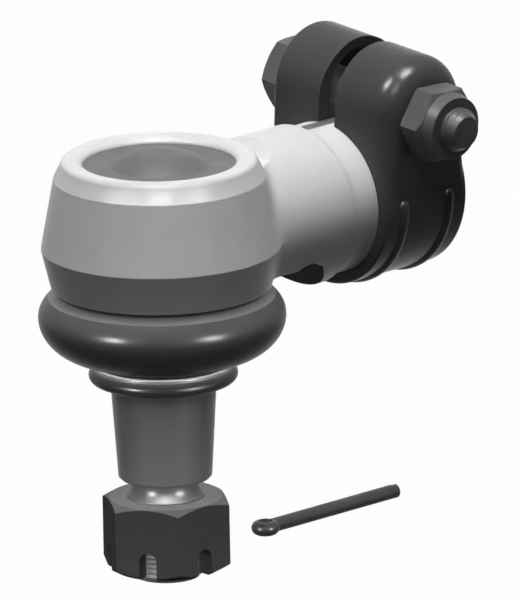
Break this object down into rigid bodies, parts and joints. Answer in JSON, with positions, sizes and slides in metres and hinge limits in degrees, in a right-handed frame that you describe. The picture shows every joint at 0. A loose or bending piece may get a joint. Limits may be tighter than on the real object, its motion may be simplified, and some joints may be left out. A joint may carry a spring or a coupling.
{
  "type": "angle ball joint",
  "caption": "Heavy steering angle ball joint: domed eye with slotted M30 x 1.5 clamp shank, tilting and spinning taper stud, rubber boot, castle nut, split pin and bolted clamp.",
  "frame": {"origin": "Centre of the rod thread where its full wall begins, 1.4 mm inside the mouth face of the shank.", "axes": "+X leaves the mouth along the arm, +Z is the side of the cover, so the stud points down -Z; +Y completes a right-handed frame. The ball's centre is at X -106.6 mm."},
  "size_m": [0.1466, 0.085, 0.1556],
  "materials": {
    "plated_steel": "light grey coated forging, satin",
    "cover_steel": "dark phosphated pressing, satin",
    "spring_steel": "oiled spring steel",
    "bearing_plastic": "natural bearing plastic, smooth",
    "stud_steel": "dark phosphated stud, ball polished",
    "boot_rubber": "black moulded rubber, slight sheen",
    "bright_steel": "bright washer",
    "nut_steel": "dark phosphated nut, satin",
    "pin_steel": "dull steel wire",
    "black_steel": "black coated forging, semi gloss",
    "bolt_steel": "grey phosphated fastener, satin"
  },
  "bodies": {
    "housing_body": {"housing": "plated_steel", "cover_plate": "cover_steel", "disc_spring": "spring_steel", "upper_bearing_shell": "bearing_plastic", "lower_bearing_shell": "bearing_plastic", "boot_upper_ring": "spring_steel", "clamp": "black_steel", "clamp_bolt": "bolt_steel", "clamp_nut": "bolt_steel"},
    "boot_body": {"boot": "boot_rubber"},
    "lip_body": {"support_washer": "bright_steel", "sealing_ring": "boot_rubber"},
    "stud_body": {"ball_stud": "stud_steel", "castle_nut": "nut_steel", "cotter_pin": "pin_steel"}
  },
  "joints": [
    {"name": "swing_direction", "type": "hinge", "parent": "housing_body", "child": "boot_body", "pos_m": [-0.1066, 0, 0], "axis": [0, 0, 1], "continuous": true},
    {"name": "stud_tilt", "type": "hinge", "parent": "boot_body", "child": "lip_body", "pos_m": [-0.1066, 0, 0], "axis": [0, 1, 0], "range_deg": [-20, 20], "deforming": ["boot"]},
    {"name": "stud_spin", "type": "hinge", "parent": "lip_body", "child": "stud_body", "pos_m": [-0.1066, 0, 0], "axis": [0, 0, 1], "continuous": true}
  ]
}
